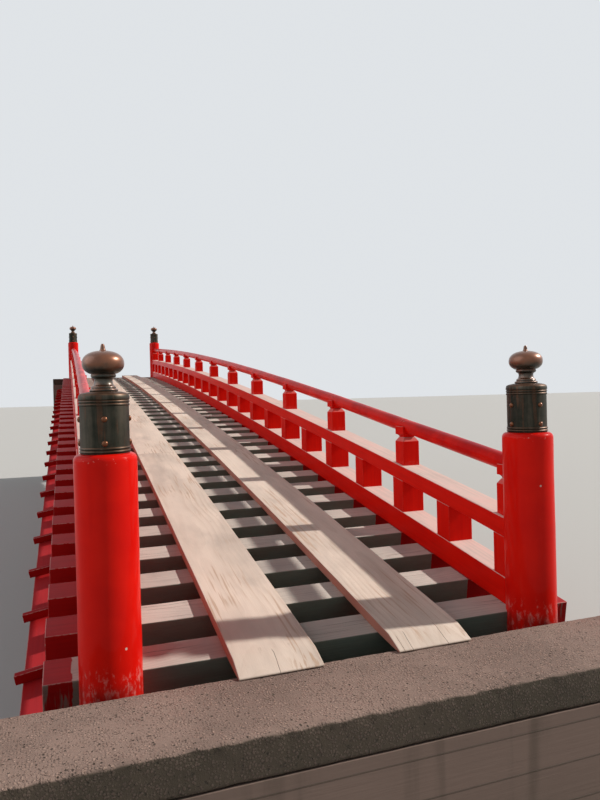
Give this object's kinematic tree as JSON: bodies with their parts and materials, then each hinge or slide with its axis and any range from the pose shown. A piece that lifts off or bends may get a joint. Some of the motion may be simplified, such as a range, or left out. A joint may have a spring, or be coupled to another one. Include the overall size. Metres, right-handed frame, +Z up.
{
  "type": "arched timber footbridge",
  "caption": "Gently arched red-lacquered timber footbridge with an open cross-timber deck, walking planks, low block-and-saddle railings and round posts with onion finials.",
  "frame": {"origin": "middle of the bridge in plan, on the level floor that both abutments stand on", "axes": "+X to the right and +Y along the bridge from the near low end to the far high end, +Z up"},
  "size_m": [3, 15.807, 3.8346],
  "materials": {
    "abutment_concrete": "board-marked concrete, weathered",
    "kerb_concrete": "exposed-aggregate concrete, worn edges",
    "girder_paint": "timber in old red paint",
    "deck_timber": "bare weathered timber, red-painted ends",
    "plank_wood": "bare pale boards, stained and worn",
    "skirt_paint": "timber in old red paint",
    "rail_lacquer": "satin vermilion lacquer, sun-faded tops",
    "post_lacquer": "glossy vermilion lacquer, chipped",
    "bronze_sleeve": "dark patinated bronze",
    "bronze_finial": "warm brown bronze, polished by hands"
  },
  "bodies": {
    "root": {"near_abutment": "abutment_concrete", "near_kerb": "kerb_concrete", "far_abutment": "abutment_concrete", "far_kerb": "kerb_concrete", "left_girder": "girder_paint", "inner_left_girder": "girder_paint", "inner_right_girder": "girder_paint", "right_girder": "girder_paint", "girder_ties": "girder_paint", "near_end_timber": "deck_timber", "near_deck_timbers": "deck_timber", "middle_deck_timbers": "deck_timber", "far_deck_timbers": "deck_timber", "far_end_timber": "deck_timber", "left_plank": "plank_wood", "right_plank": "plank_wood", "left_skirt_boards": "skirt_paint", "right_skirt_boards": "skirt_paint", "left_skirt_battens": "skirt_paint", "right_skirt_battens": "skirt_paint", "left_bottom_rail": "rail_lacquer", "right_bottom_rail": "rail_lacquer", "left_lower_posts": "rail_lacquer", "right_lower_posts": "rail_lacquer", "left_middle_rail": "rail_lacquer", "right_middle_rail": "rail_lacquer", "left_blocks": "rail_lacquer", "right_blocks": "rail_lacquer", "left_saddles": "rail_lacquer", "right_saddles": "rail_lacquer", "left_top_rail": "rail_lacquer", "right_top_rail": "rail_lacquer", "near_left_post": "post_lacquer", "near_right_post": "post_lacquer", "far_left_post": "post_lacquer", "far_right_post": "post_lacquer", "near_left_sleeve": "bronze_sleeve", "near_right_sleeve": "bronze_sleeve", "far_left_sleeve": "bronze_sleeve", "far_right_sleeve": "bronze_sleeve", "near_left_finial": "bronze_finial", "near_right_finial": "bronze_finial", "far_left_finial": "bronze_finial", "far_right_finial": "bronze_finial"}
  },
  "joints": []
}
